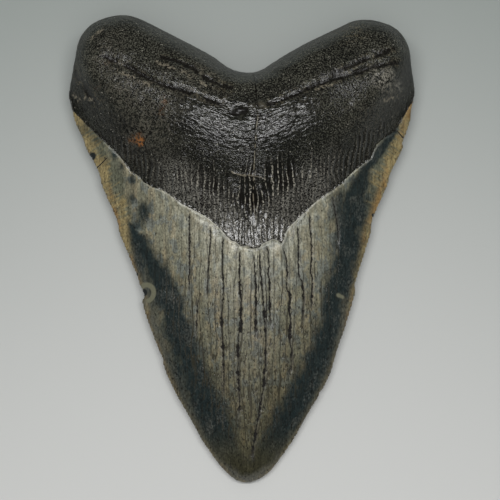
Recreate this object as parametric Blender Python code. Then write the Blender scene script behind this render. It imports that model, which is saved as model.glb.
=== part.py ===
"""Megalodon tooth, a fossil shark tooth lying on its labial face with the tongue side up.

The tooth is one solid. Its plan outline is triangulated twice, once for the upper (lingual) face
and once for the lower (labial) face, and each triangulation is lifted by a height that follows
from the measures below. X runs across the tooth, +Y from the tip to the root, +Z up.
Measures are in millimetres from the tip of the crown, unless a name says otherwise.
"""

import math

import bmesh
import bpy
import numpy as np
from mathutils import Matrix, Vector, noise
from mathutils.geometry import delaunay_2d_cdt

MM = 0.001

# ---- Outline in plan -------------------------------------------------------------------------
LEFT_CUTTING_EDGE = [
    (-3.0, 0.5), (-8.4, 5.3), (-12.4, 11.0), (-17.4, 19.0), (-20.9, 25.0), (-26.8, 38.0),
    (-31.2, 50.0), (-34.3, 62.0), (-44.0, 88.0), (-48.5, 99.5), (-53.0, 109.0),
]
LEFT_LOBE = [
    (-56.0, 118.0), (-56.3, 122.5), (-54.5, 131.5), (-53.0, 139.0), (-49.5, 143.5), (-45.0, 145.7),
    (-40.0, 146.6), (-34.5, 145.5),
]
NOTCH = [(-22.5, 139.0), (-11.0, 132.5), (-5.0, 128.0), (0.0, 126.8), (4.0, 127.3), (9.0, 130.7)]
RIGHT_LOBE = [
    (18.0, 136.3), (29.5, 142.3), (34.0, 144.5), (39.0, 145.0), (45.0, 143.5), (49.0, 140.8),
    (51.6, 135.5), (52.2, 130.5), (53.5, 122.5), (52.8, 117.5),
]
RIGHT_CUTTING_EDGE = [
    (51.5, 111.5), (49.3, 104.0), (45.3, 94.5), (40.3, 81.5), (36.6, 68.5), (33.3, 56.0),
    (29.8, 43.5), (24.9, 31.0), (20.0, 22.0), (14.4, 13.0), (10.9, 7.8), (7.2, 3.3), (3.0, 0.5),
    (0.0, 0.0),
]
OUTLINE_STEP = 2.1

# ---- Heights along the tooth: (distance from the tip, height above the table) ---------------
CREST_HEIGHT = 28.0
CREST_AT = 105.0
MIDLINE_TOP = [
    (0, 2.0), (1, 3.8), (3, 5.4), (7, 6.9), (14, 8.9), (28, 12.0), (44, 14.9), (58, 17.3),
    (71, 19.2), (77.5, 19.7), (83, 20.8), (90, 23.2), (98, 26.4), (CREST_AT, CREST_HEIGHT),
    (112, 27.6), (119, 25.7), (127, 22.5), (140, 19.0),
]
MIDLINE_UNDER = [
    (0, 2.0), (1.5, 0.8), (4, -0.1), (10, -0.2), (18, 0.1), (40, 1.2), (65, 1.7), (90, 1.3), (120, 0.8),
]
CUTTING_EDGE = [(0, 2.0), (20, 2.6), (60, 3.4), (100, 4.6), (120, 5.6)]
BLADE_FULLNESS = 0.62
UNDER_FLATNESS = 2.4

# ---- Root: heights across the tooth, (distance from the midline, height) ---------------------
CREST_ACROSS = [(0, 28.0), (12, 27.6), (20, 26.2), (28, 23.6), (36, 20.8), (44, 18.0), (51, 15.4), (58, 12.5)]
CREST_SWEEP = 0.47
CREST_SWEEP_GAIN = 0.006
CREST_BEND = 8.0
ROOT_SIDE = 8.5
ROOT_UPPER_ROUND = 8.5
ROOT_LOWER_ROUND = 5.5
ROOT_UNDER = -0.4
ROOT_UNDER_HOLLOW = 1.3
ROOT_UNDER_HOLLOW_WIDTH = 15.0
CROWN_TO_ROOT = 18.0
ROOT_START = [
    (-60, 121), (-42, 102), (-26, 89), (-12, 79), (2, 71.5), (14, 77.5), (26, 88.5), (40, 102), (58, 124),
]

# ---- Where the enamel stops, left to right ----------------------------------------------------
ENAMEL_LINE = [
    (-55.0, 116.0), (-50.5, 111.0), (-46.5, 107.0), (-42.5, 103.0), (-40.0, 100.5), (-38.5, 98.5),
    (-36.0, 95.0), (-33.5, 93.5), (-32.0, 91.5), (-29.0, 89.5), (-26.0, 88.5), (-24.0, 87.0),
    (-19.5, 83.5), (-16.0, 81.5), (-12.5, 79.5), (-10.0, 77.5), (-7.5, 75.0), (-5.0, 72.0),
    (-3.0, 71.3), (-1.8, 70.0), (0.7, 70.0), (1.6, 69.2), (3.8, 69.4), (4.8, 70.8), (8.0, 72.4),
    (9.8, 72.0), (10.7, 71.0), (11.6, 72.3), (12.0, 74.5), (13.5, 76.7), (16.5, 79.7), (18.5, 81.5),
    (21.0, 84.3), (26.0, 88.0), (30.0, 91.0), (31.5, 93.0), (34.0, 95.5), (39.0, 99.5), (40.0, 102.0),
    (41.0, 104.0), (43.5, 106.5), (47.0, 109.0), (48.5, 111.5), (50.0, 114.0), (52.0, 117.5),
]
UNDER_ENAMEL_LINE = [
    (-54.6, 118.5), (-49.5, 115.6), (-43.0, 112.0), (-34.0, 108.3), (-24.0, 104.2), (-14.0, 100.6),
    (-5.0, 98.0), (1.0, 97.2), (7.0, 98.3), (16.0, 101.0), (26.0, 104.6), (35.0, 108.6),
    (43.0, 112.2), (48.5, 115.4), (51.9, 118.2),
]
ENAMEL_STEP = 0.55
UNDER_ENAMEL_STEP = 0.33
ENAMEL_FADE = 13.0
LEDGE_WIDTH = 0.35

# ---- Cracks down the enamel and the root: each a line of places ---------------------------------
CROWN_CRACKS = [
    [(-7.0, 73.5), (-7.2, 63.0), (-6.8, 59.0), (-7.0, 53.5), (-7.4, 48.5), (-6.8, 33.5), (-6.9, 24.5)],
    [(-1.9, 69.0), (-2.0, 59.0), (-1.6, 54.0), (-1.6, 46.5), (-2.4, 42.5), (-2.4, 32.0), (-2.0, 24.5),
     (-2.3, 18.0)],
    [(2.2, 68.0), (2.9, 58.0), (2.8, 46.5), (2.9, 41.5)],
    [(4.2, 68.5), (4.3, 64.0), (5.2, 53.5), (5.9, 43.5), (5.8, 36.0), (5.3, 29.0), (3.4, 18.0),
     (2.9, 15.0), (1.7, 5.5)],
    [(6.5, 70.5), (6.9, 65.0), (6.6, 62.5), (7.1, 59.0), (7.3, 49.0), (8.0, 45.5)],
    [(10.9, 70.0), (11.9, 68.0), (12.5, 63.5), (12.3, 58.5), (13.4, 56.0), (13.2, 52.5), (13.5, 48.0),
     (13.2, 43.5), (13.8, 39.5), (13.5, 33.5), (12.5, 30.5)],
    [(15.6, 77.0), (16.0, 71.0), (16.1, 62.5), (17.1, 60.0), (17.5, 54.5), (16.9, 47.0)],
    [(19.4, 81.0), (20.1, 70.0), (19.8, 64.0), (20.2, 60.5), (20.0, 50.5)],
    [(26.4, 87.0), (27.9, 80.5), (28.6, 74.0), (27.4, 69.5), (26.8, 59.5)],
    [(-10.9, 76.5), (-10.9, 71.5), (-11.5, 63.5), (-12.0, 54.0)],
    [(-17.4, 81.0), (-17.3, 64.0), (-17.7, 55.5)],
    [(-14.7, 55.5), (-15.0, 48.5), (-15.3, 43.0)],
]
CROWN_CRACK_WIDTH = 0.75
CROWN_CRACK_DEPTH = 0.42
ROOT_CRACKS = [
    [(2.2, 122.5), (3.2, 113.5), (3.5, 107.5), (3.0, 104.0), (2.4, 92.5), (2.2, 84.0), (3.2, 76.5)],
]
ROOT_CRACK_WIDTH = 0.8
ROOT_CRACK_DEPTH = 0.35
UNDER_CRACKS = [
    [(-19.0, 99.0), (-17.8, 86.0), (-16.0, 72.0), (-15.2, 60.0), (-12.5, 47.0)],
    [(-6.5, 96.0), (-7.2, 80.0), (-5.6, 66.0), (-5.2, 50.0), (-3.8, 34.0), (-3.6, 24.0)],
    [(4.0, 95.0), (3.2, 78.0), (4.4, 62.0), (3.6, 45.0), (2.6, 30.0), (2.4, 17.0)],
    [(14.0, 97.5), (13.0, 84.0), (12.6, 70.0), (10.6, 54.0), (10.0, 44.0)],
    [(24.5, 101.0), (23.0, 89.0), (21.0, 76.0), (19.8, 66.0)],
]
CRACK_STEP = 2.6

# ---- Furrows and pits in the root: (line, width, depth) and (x, y, radius, depth) ---------------
ROOT_FURROWS = [
    ([(-44.0, 130.0), (-36.4, 126.1), (-31.5, 122.9), (-26.8, 120.1), (-21.5, 118.0), (-16.9, 116.3),
      (-11.7, 114.1), (-7.2, 111.7)], 2.2, 0.85),
    ([(-26.0, 128.6), (-19.0, 126.0), (-14.2, 122.6), (-9.5, 119.2), (-4.6, 117.6)], 1.9, 0.7),
    ([(-54.2, 127.6), (-51.6, 123.4), (-48.9, 119.6), (-46.6, 116.4)], 1.6, 0.55),
    ([(47.5, 129.0), (39.6, 126.6), (32.2, 123.4), (24.4, 120.5), (18.0, 117.2), (11.5, 113.9),
      (6.6, 112.2)], 2.2, 0.8),
    ([(46.0, 133.2), (41.6, 131.0), (37.3, 128.9), (33.5, 126.8), (29.7, 124.8), (26.6, 123.0)], 1.7, 0.55),
    ([(51.0, 124.6), (48.0, 121.2), (44.4, 117.6), (40.8, 114.4)], 1.6, 0.55),
]
UNDER_FURROWS = [
    ([(-39.0, 138.0), (-36.0, 128.0), (-30.0, 119.0)], 2.4, 0.5),
    ([(-18.0, 128.0), (-16.0, 118.0), (-17.0, 109.0)], 2.4, 0.45),
    ([(15.0, 127.0), (14.0, 117.0), (15.5, 108.0)], 2.4, 0.45),
    ([(36.0, 137.0), (34.0, 127.0), (29.0, 118.0)], 2.4, 0.5),
]
ROOT_PITS = [
    (-2.0, 109.8, 2.4, 1.3), (4.4, 111.8, 1.8, -0.6), (-13.0, 109.0, 1.3, 0.4), (15.6, 111.0, 1.2, 0.4),
    (-31.0, 116.0, 1.6, 0.5), (-42.6, 120.4, 1.5, 0.45), (31.0, 114.4, 1.5, 0.45), (42.8, 126.4, 2.2, -0.5),
    (-20.5, 104.6, 1.2, 0.4),
]
UNDER_PITS = [
    (-3.0, 112.0, 1.6, 0.7), (6.5, 108.0, 1.2, 0.5), (-24.0, 120.0, 1.4, 0.5), (25.0, 122.0, 1.3, 0.5),
]
ROOT_LUMPS = [(15.0, 0.55), (7.5, 0.28)]

# ---- Ridges running down the neck between root and enamel ---------------------------------------
NECK_RIDGE_PITCH = 2.0
NECK_RIDGE_HEIGHT = 0.24
NECK_RIDGE_FROM = -26.0
NECK_RIDGE_TO = 30.0
NECK_RIDGE_LENGTH = 25.0
NECK_RIDGE_STEP = 4.0
NECK_MIDDLE = 2.0
NECK_HALF_WIDTH = 56.0
NECK_RIDGE_CLEARANCE = 1.3
NECK_RIDGE_UNEVENNESS = 0.28
NECK_RIDGE_WAVE = 0.22
NECK_RIDGE_WAVE_LENGTH = 27.0
NECK_RIDGE_LEAN = 0.0035
NECK_RIDGE_TURN = 1.9
NECK_RIDGE_LAST_HEIGHT = 0.25

# ---- Damage on the cutting edges: (x, y, length along the edge, depth) --------------------------
EDGE_NICKS = [
    (-32.8, 57.8, 3.6, 0.9), (-34.6, 63.8, 2.2, 0.5), (-26.3, 38.4, 2.4, 0.35), (-48.2, 98.8, 3.4, 0.5),
    (-42.2, 83.4, 2.6, 0.35), (40.8, 82.8, 2.6, 0.6), (34.2, 61.4, 2.6, 0.35), (50.3, 107.2, 2.8, 0.45),
    (22.6, 27.6, 2.4, 0.3),
]

FOSSIL_COLOUR = (0.060, 0.058, 0.050)
FOSSIL_ROUGHNESS = 0.45

RING_INSETS = [0.4, 1.2, 2.5, 4.4, 6.8]
UPPER_STEP = 2.8
LOWER_STEP = 3.9


def clear_scene():
    for obj in list(bpy.data.objects):
        bpy.data.objects.remove(obj)


def material(name, colour, roughness):
    made = bpy.data.materials.new(name)
    made.use_nodes = True
    shader = made.node_tree.nodes["Principled BSDF"]
    shader.inputs["Base Color"].default_value = (*colour, 1.0)
    shader.inputs["Roughness"].default_value = roughness
    shader.inputs["Metallic"].default_value = 0.0
    return made


# ---- Curves and profiles -----------------------------------------------------------------------
def smooth_line(points, step, closed=False):
    """Points about `step` apart along a Catmull-Rom curve through `points`."""
    knots = [Vector(p) for p in points]
    count = len(knots)
    fine = []
    for i in range(count if closed else count - 1):
        if closed:
            a, b, c, d = (knots[(i + k) % count] for k in (-1, 0, 1, 2))
        else:
            a, b, c, d = (knots[min(max(i + k, 0), count - 1)] for k in (-1, 0, 1, 2))
        for part in range(12):
            t = part / 12
            fine.append(0.5 * (2 * b + (c - a) * t + (2 * a - 5 * b + 4 * c - d) * t**2
                               + (3 * b - a - 3 * c + d) * t**3))
    fine.append(fine[0] if closed else knots[-1])
    fine = np.array(fine)
    along = np.concatenate([[0], np.cumsum(np.linalg.norm(np.diff(fine, axis=0), axis=1))])
    pieces = max(2, round(along[-1] / step))
    at = np.linspace(0, along[-1], pieces + 1)[: pieces if closed else pieces + 1]
    return np.column_stack([np.interp(at, along, fine[:, 0]), np.interp(at, along, fine[:, 1])])


def profile(knots):
    """A smooth function through (place, value) knots that never overshoots them."""
    x, y = np.array(knots, float).T
    rise = np.diff(y) / np.diff(x)
    slope = np.concatenate([[rise[0]], (rise[:-1] + rise[1:]) / 2, [rise[-1]]])
    slope[1:-1][rise[:-1] * rise[1:] <= 0] = 0
    for i, r in enumerate(rise):
        for k in (i, i + 1):
            slope[k] = math.copysign(min(abs(slope[k]), 3 * abs(r)), slope[k])

    def value(at):
        at = np.clip(at, x[0], x[-1])
        i = np.clip(np.searchsorted(x, at, side="right") - 1, 0, len(x) - 2)
        wide = x[i + 1] - x[i]
        t = (at - x[i]) / wide
        return (y[i] * (1 + 2 * t) * (1 - t) ** 2 + y[i + 1] * t * t * (3 - 2 * t)
                + wide * (slope[i] * t * (1 - t) ** 2 - slope[i + 1] * t * t * (1 - t)))

    return value


def smoothstep(t):
    t = np.clip(t, 0, 1)
    return t * t * (3 - 2 * t)


def quarter_round(distance, radius):
    """0 at an edge, rising as a quarter circle to 1 at `radius` from it."""
    q = np.clip(distance / radius, 0, 1)
    return np.sqrt(1 - (1 - q) ** 2)


def distance_to_line(points, line):
    """Each point's distance to the nearest place on a polyline."""
    start, along = line[:-1], np.diff(line, axis=0)
    to = points[:, None, :] - start[None]
    t = np.clip((to * along).sum(2) / (along**2).sum(1), 0, 1)
    return np.linalg.norm(to - t[..., None] * along, axis=2).min(1)


def nicked(loop, nicks):
    """The closed loop with each nick's three points in place of the ones it takes away."""
    for x, y, length, depth in nicks:
        at = np.array([x, y])
        away = np.linalg.norm(loop - at, axis=1)
        nearest = away.argmin()
        along = loop[(nearest + 1) % len(loop)] - loop[nearest - 1]
        along /= np.linalg.norm(along)
        at = loop[nearest] + along * ((at - loop[nearest]) @ along)
        inward = np.array([along[1], -along[0]])
        cut = [at - along * length / 2, at + inward * depth, at + along * length / 2]
        gone = np.linalg.norm(loop - at, axis=1) < 0.75 * length
        first = np.flatnonzero(gone & ~np.roll(gone, 1))[0]
        loop = np.roll(loop, -first, axis=0)
        loop = np.vstack([cut, loop[gone.sum():]])
    return loop


OUTLINE_POINTS = LEFT_CUTTING_EDGE + LEFT_LOBE + NOTCH + RIGHT_LOBE + RIGHT_CUTTING_EDGE
OUTLINE = nicked(smooth_line(OUTLINE_POINTS, OUTLINE_STEP, closed=True), EDGE_NICKS)
CLOSED_OUTLINE = np.vstack([OUTLINE, OUTLINE[:1]])
LEFT_SIDE = smooth_line([(0, 0)] + LEFT_CUTTING_EDGE + LEFT_LOBE[:4], 1.0)
RIGHT_SIDE = smooth_line([(0, 0)] + (RIGHT_LOBE[-3:] + RIGHT_CUTTING_EDGE)[-2::-1], 1.0)

midline_top = profile(MIDLINE_TOP)
midline_under = profile(MIDLINE_UNDER)
cutting_edge = profile(CUTTING_EDGE)
crest_across = profile(CREST_ACROSS)


def line_height(line):
    """How far up the tooth a line that runs left to right lies, for any x."""
    x, y = np.array(line).T
    return lambda at: np.interp(at, x, y)


enamel_line = line_height(ENAMEL_LINE)
under_enamel_line = line_height(UNDER_ENAMEL_LINE)
root_start = profile(ROOT_START)


def share_across(points):
    """-1 on the left cutting edge, 0 midway and 1 on the right cutting edge."""
    x, y = points.T
    left = np.interp(y, LEFT_SIDE[:, 1], LEFT_SIDE[:, 0])
    right = np.interp(y, RIGHT_SIDE[:, 1], RIGHT_SIDE[:, 0])
    return np.clip((2 * x - left - right) / np.maximum(right - left, 0.01), -1, 1)


def root_share(points):
    """0 on the crown, 1 on the root, changing over the band above the enamel."""
    x, y = points.T
    return smoothstep((y - root_start(x)) / CROWN_TO_ROOT)


def side_height(points):
    """Height of the outline, where the upper and lower faces meet."""
    y = points[:, 1]
    share = root_share(points)
    return cutting_edge(y) * (1 - share) + ROOT_SIDE * share


def crest_line(x):
    """Where the root stands highest, sweeping from the midline out along both lobes."""
    across = np.sqrt(x**2 + CREST_BEND**2) - CREST_BEND
    return CREST_AT + CREST_SWEEP * across * (1 + CREST_SWEEP_GAIN * across)


def upper_body(points):
    """Height of the tongue-side face without its marks."""
    x, y = points.T
    side = side_height(points)
    lens = 1 - share_across(points) ** 2
    lens = lens * (BLADE_FULLNESS + (1 - BLADE_FULLNESS) * lens)
    crown = cutting_edge(y) + (midline_top(y) - cutting_edge(y)) * lens
    past_crest = y - crest_line(x)
    root = crest_across(np.abs(x)) * midline_top(CREST_AT + past_crest) / CREST_HEIGHT
    rounding = quarter_round(distance_to_line(points, CLOSED_OUTLINE), ROOT_UPPER_ROUND)
    root = side + (root - side) * rounding
    share = root_share(points)
    return crown * (1 - share) + root * share


def lower_body(points):
    """Height of the lip-side face without its marks."""
    x, y = points.T
    side = side_height(points)
    across = np.abs(share_across(points)) ** UNDER_FLATNESS
    crown = midline_under(y) + (cutting_edge(y) - midline_under(y)) * across
    root = ROOT_UNDER + ROOT_UNDER_HOLLOW * np.exp(-((x / ROOT_UNDER_HOLLOW_WIDTH) ** 2))
    rounding = quarter_round(distance_to_line(points, CLOSED_OUTLINE), ROOT_LOWER_ROUND)
    root = side + (root - side) * rounding
    share = root_share(points)
    return crown * (1 - share) + root * share


# ---- Marks: how far each stands out of the face (+) or is cut into it (-) ------------------------
def enamel_coat(points, line, step):
    """The enamel's thickness, which ends in a ledge along the line and thins out down the crown."""
    x, y = points.T
    below = line(x) - y
    return np.where(below > -0.02, step * (1 - smoothstep(below / ENAMEL_FADE)), 0.0)


def grooves(points, lines, width, depth):
    """V-shaped cracks that run out at both ends."""
    cut = np.zeros(len(points))
    for line in lines:
        line = smooth_line(line, CRACK_STEP)
        near = np.linalg.norm(points[:, None] - line[None], axis=2)
        ends = np.minimum(near[:, 0], near[:, -1])
        runout = smoothstep(ends / 4.0)
        away = distance_to_line(points, line)
        cut = np.minimum(cut, -depth * runout * np.clip(1 - 2 * away / width, 0, 1))
    return cut


def furrows(points, wanted):
    cut = np.zeros(len(points))
    for line, width, depth in wanted:
        line = smooth_line(line, CRACK_STEP)
        ends = np.linalg.norm(points[:, None] - line[None, [0, -1]], axis=2).min(1)
        away = distance_to_line(points, line)
        cut -= depth * (0.35 + 0.65 * smoothstep(ends / 5.0)) * np.exp(-((away / (0.55 * width)) ** 2))
    return cut


def pits(points, wanted):
    cut = np.zeros(len(points))
    for x, y, radius, depth in wanted:
        away = np.linalg.norm(points - [x, y], axis=1)
        cut -= depth * np.exp(-((away / (0.7 * radius)) ** 2))
    return cut


def lumps(points, sizes, seed):
    """Uneven ground from smooth noise: each size is (spacing of the lumps, height)."""
    return np.array([sum(high * noise.noise(Vector((p[0] / apart, p[1] / apart, seed)))
                         for apart, high in sizes) for p in points])


def neck_ridge_lines():
    """(crests, troughs) of the ridges down the neck, from above the enamel line toward the root."""
    count = round((NECK_RIDGE_TO - NECK_RIDGE_FROM) / NECK_RIDGE_PITCH * 2)
    lines = []
    for i in range(count + 1):
        turn = NECK_RIDGE_TURN * i
        x = NECK_RIDGE_FROM + i * NECK_RIDGE_PITCH / 2
        off_middle = x - NECK_MIDDLE
        length = NECK_RIDGE_LENGTH * (1 - NECK_RIDGE_UNEVENNESS * (1 - math.cos(turn)))
        length *= math.cos(math.pi / 2 * off_middle / NECK_HALF_WIDTH)
        rows = np.arange(0.0, length, NECK_RIDGE_STEP)
        start = enamel_line(x) + LEDGE_WIDTH + NECK_RIDGE_CLEARANCE
        wave = NECK_RIDGE_WAVE * np.sin(2 * math.pi * rows / NECK_RIDGE_WAVE_LENGTH + turn)
        lean = -NECK_RIDGE_LEAN * off_middle * rows
        lines.append(np.column_stack([x + wave + lean, start + rows]))
    return lines[::2], lines[1::2]


def neck_ridges(points, crests, troughs):
    """Raised along the crests and sunk along the troughs, running out toward the root."""
    height = np.zeros(len(points))
    for lines, rise in ((crests, NECK_RIDGE_HEIGHT), (troughs, -NECK_RIDGE_HEIGHT)):
        for line in lines:
            near = np.linalg.norm(points[:, None] - line[None], axis=2).min(1) < 0.05
            far_end = 1 - (points[:, 1] - line[0, 1]) / max(line[-1, 1] - line[0, 1], 1.0)
            share = NECK_RIDGE_LAST_HEIGHT + (1 - NECK_RIDGE_LAST_HEIGHT) * smoothstep(1.6 * far_end)
            height[near] = (rise * share)[near]
    return height


NECK_CRESTS, NECK_TROUGHS = neck_ridge_lines()


def upper_height(points):
    lumpy = lumps(points, ROOT_LUMPS, 0.0) * root_share(points)
    marks = (enamel_coat(points, enamel_line, ENAMEL_STEP)
             + grooves(points, CROWN_CRACKS, CROWN_CRACK_WIDTH, CROWN_CRACK_DEPTH)
             + grooves(points, ROOT_CRACKS, ROOT_CRACK_WIDTH, ROOT_CRACK_DEPTH)
             + furrows(points, ROOT_FURROWS) + pits(points, ROOT_PITS)
             + neck_ridges(points, NECK_CRESTS, NECK_TROUGHS))
    fade = smoothstep(distance_to_line(points, CLOSED_OUTLINE) / 2.0)
    return upper_body(points) + (lumpy + marks) * fade


def lower_height(points):
    """Height of the lip-side face. Nothing reaches under the table, so what lies on it is flat."""
    lumpy = lumps(points, ROOT_LUMPS, 40.0) * root_share(points)
    marks = (grooves(points, UNDER_CRACKS, CROWN_CRACK_WIDTH, CROWN_CRACK_DEPTH)
             + furrows(points, UNDER_FURROWS) + pits(points, UNDER_PITS))
    coat = enamel_coat(points, under_enamel_line, UNDER_ENAMEL_STEP)
    fade = smoothstep(distance_to_line(points, CLOSED_OUTLINE) / 2.0)
    return np.maximum(lower_body(points) - (lumpy + marks + coat) * fade, 0.0)


def sides_of(line, width):
    """The two lines half a width to either side of a line."""
    along = np.gradient(line, axis=0)
    out = np.column_stack([along[:, 1], -along[:, 0]]) / np.linalg.norm(along, axis=1)[:, None]
    return [line + out * width / 2, line - out * width / 2]


def crack_lines(lines, width):
    """Each crack's middle and its two lips."""
    middles = [smooth_line(line, CRACK_STEP) for line in lines]
    return [drawn for middle in middles for drawn in [middle] + sides_of(middle, width)]


def ledge_lines(line):
    """The top and the foot of the enamel's ledge."""
    top = smooth_line(line, 1.7)[1:-1]
    return [top, top + [0.0, LEDGE_WIDTH]]


def furrow_lines(wanted):
    return [drawn for line, width, _ in wanted for middle in [smooth_line(line, CRACK_STEP)]
            for drawn in [middle] + sides_of(middle, 1.1 * width)]


def pit_rings(wanted):
    around = np.linspace(0, 2 * math.pi, 9)
    circle = np.column_stack([np.cos(around), np.sin(around)])
    return [drawn for x, y, radius, _ in wanted
            for drawn in (circle * 0.35 * radius + [x, y], circle * radius + [x, y])]


# ---- Triangulation -----------------------------------------------------------------------------
def inside(points):
    """True for points inside the outline."""
    x, y = points[:, 0, None], points[:, 1, None]
    a, b = CLOSED_OUTLINE[:-1], CLOSED_OUTLINE[1:]
    spans = (a[:, 1] > y) != (b[:, 1] > y)
    rise = np.where(b[:, 1] == a[:, 1], 1e-9, b[:, 1] - a[:, 1])
    crossing = a[:, 0] + (y - a[:, 1]) * (b[:, 0] - a[:, 0]) / rise
    return (spans & (x < crossing)).sum(1) % 2 == 1


def lattice(step):
    """A triangular lattice over the outline's box."""
    low, high = OUTLINE.min(0), OUTLINE.max(0)
    rows = np.arange(low[1], high[1], step * math.sin(math.radians(60)))
    return np.array([(x + (i % 2) * step / 2, y)
                     for i, y in enumerate(rows) for x in np.arange(low[0], high[0], step)])


def inset_ring(distance, step):
    """Points that far inside the outline."""
    loop = smooth_line(OUTLINE_POINTS, step, closed=True)
    along = np.roll(loop, -1, axis=0) - np.roll(loop, 1, axis=0)
    inward = np.column_stack([along[:, 1], -along[:, 0]]) / np.linalg.norm(along, axis=1)[:, None]
    ring = loop + inward * distance
    keep = inside(ring) & (distance_to_line(ring, CLOSED_OUTLINE) > 0.97 * distance)
    return ring[keep]


def clear_of(points, least, fixed):
    """The points that lie at least that far from the fixed ones."""
    return points[np.linalg.norm(points[:, None] - fixed[None], axis=2).min(1) > least]


def thinned(points, least):
    """The points that lie at least that far from the ones kept before them."""
    kept = points[:1]
    for p in points[1:]:
        if np.linalg.norm(kept - p, axis=1).min() > least:
            kept = np.vstack([kept, p])
    return kept


def sheet(step, lines, height):
    """(points, triangles) of one face: the outline's points come first."""
    lines = [line[inside(line) & (distance_to_line(line, CLOSED_OUTLINE) > 0.4)] for line in lines]
    fixed = np.vstack([OUTLINE] + lines)
    rings = np.vstack([inset_ring(d, OUTLINE_STEP + max(0, d - 2.4) / 3) for d in RING_INSETS])
    rings = thinned(clear_of(rings, 0.25, OUTLINE), 0.5)
    rings = clear_of(rings, 0.8, np.vstack(lines))
    grid = lattice(step)
    grid = grid[inside(grid)]
    grid = grid[distance_to_line(grid, CLOSED_OUTLINE) > RING_INSETS[-1] + step / 3]
    grid = clear_of(grid, 0.5 * step, np.vstack([fixed, rings]))
    points = np.vstack([fixed, rings, grid])
    edges, first = [], len(OUTLINE)
    for line in lines:
        edges += [(first + i, first + i + 1) for i in range(len(line) - 1)]
        first += len(line)
    loop = list(range(len(OUTLINE)))
    found = delaunay_2d_cdt([Vector(p) for p in points], edges, [loop], 1, 1e-6)
    at = np.array([(p[0], p[1]) for p in found[0]])
    lifted = np.column_stack([at, height(at)])
    rim = {}
    for new, olds in enumerate(found[3]):
        for old in olds:
            if old < len(OUTLINE):
                rim[old] = new
    return lifted, [tuple(f) for f in found[2]], rim


def build_tooth():
    upper_lines = (ledge_lines(ENAMEL_LINE) + crack_lines(CROWN_CRACKS, CROWN_CRACK_WIDTH)
                   + crack_lines(ROOT_CRACKS, ROOT_CRACK_WIDTH) + furrow_lines(ROOT_FURROWS)
                   + pit_rings(ROOT_PITS) + NECK_CRESTS + NECK_TROUGHS)
    lower_lines = (ledge_lines(UNDER_ENAMEL_LINE) + crack_lines(UNDER_CRACKS, CROWN_CRACK_WIDTH)
                   + furrow_lines(UNDER_FURROWS) + pit_rings(UNDER_PITS))
    upper, upper_faces, upper_rim = sheet(UPPER_STEP, upper_lines, upper_height)
    lower, lower_faces, lower_rim = sheet(LOWER_STEP, lower_lines, lower_height)
    mesh = bmesh.new()
    top = [mesh.verts.new(p * MM) for p in upper]
    shared = {lower_rim[i]: top[upper_rim[i]] for i in range(len(OUTLINE))}
    bottom = [shared.get(i) or mesh.verts.new(p * MM) for i, p in enumerate(lower)]
    for face in upper_faces:
        mesh.faces.new([top[i] for i in face])
    for face in lower_faces:
        mesh.faces.new([bottom[i] for i in face])
    bmesh.ops.recalc_face_normals(mesh, faces=mesh.faces)
    data = bpy.data.meshes.new("tooth")
    mesh.to_mesh(data)
    mesh.free()
    data.materials.append(material("fossil", FOSSIL_COLOUR, FOSSIL_ROUGHNESS))
    tooth = bpy.data.objects.new("tooth", data)
    bpy.context.scene.collection.objects.link(tooth)
    low = np.array([v.co for v in data.vertices]).min(0)
    high = np.array([v.co for v in data.vertices]).max(0)
    middle = (low + high) / 2
    data.transform(Matrix.Translation((-middle[0], -middle[1], -low[2])))
    return tooth


if __name__ == "__main__":
    clear_scene()
    build_tooth()
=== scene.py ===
"""The megalodon tooth, dressed: worn enamel, ridged neck and leathery black root.

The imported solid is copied, smoothed and remeshed, and its marks are cut again at their full
sharpness. Lengths of the tooth are in millimetres from the tip of the crown: x across, y towards
the root. Masks that the fossil's colours follow are stored on the mesh as attributes.
"""

import math

import bpy
import numpy as np
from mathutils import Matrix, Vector, noise


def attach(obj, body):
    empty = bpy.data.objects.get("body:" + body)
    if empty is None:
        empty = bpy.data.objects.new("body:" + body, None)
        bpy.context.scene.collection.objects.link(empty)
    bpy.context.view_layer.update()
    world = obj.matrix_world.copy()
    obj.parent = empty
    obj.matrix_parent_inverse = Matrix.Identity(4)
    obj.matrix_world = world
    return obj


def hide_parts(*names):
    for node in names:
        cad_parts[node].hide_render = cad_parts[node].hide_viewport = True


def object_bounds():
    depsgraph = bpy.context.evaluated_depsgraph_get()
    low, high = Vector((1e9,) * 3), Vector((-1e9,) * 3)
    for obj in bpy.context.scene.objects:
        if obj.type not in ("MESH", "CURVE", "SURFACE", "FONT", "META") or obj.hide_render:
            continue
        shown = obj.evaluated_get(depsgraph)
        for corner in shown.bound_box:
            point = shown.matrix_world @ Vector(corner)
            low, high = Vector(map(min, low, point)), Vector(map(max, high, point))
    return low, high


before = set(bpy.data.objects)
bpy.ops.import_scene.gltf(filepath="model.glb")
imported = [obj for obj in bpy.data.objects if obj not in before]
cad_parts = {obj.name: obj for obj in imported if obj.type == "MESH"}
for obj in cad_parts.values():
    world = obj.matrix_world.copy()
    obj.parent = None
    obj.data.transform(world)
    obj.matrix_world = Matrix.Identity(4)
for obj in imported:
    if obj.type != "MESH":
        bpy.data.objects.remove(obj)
cad_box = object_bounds()

MM = 0.001

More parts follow.
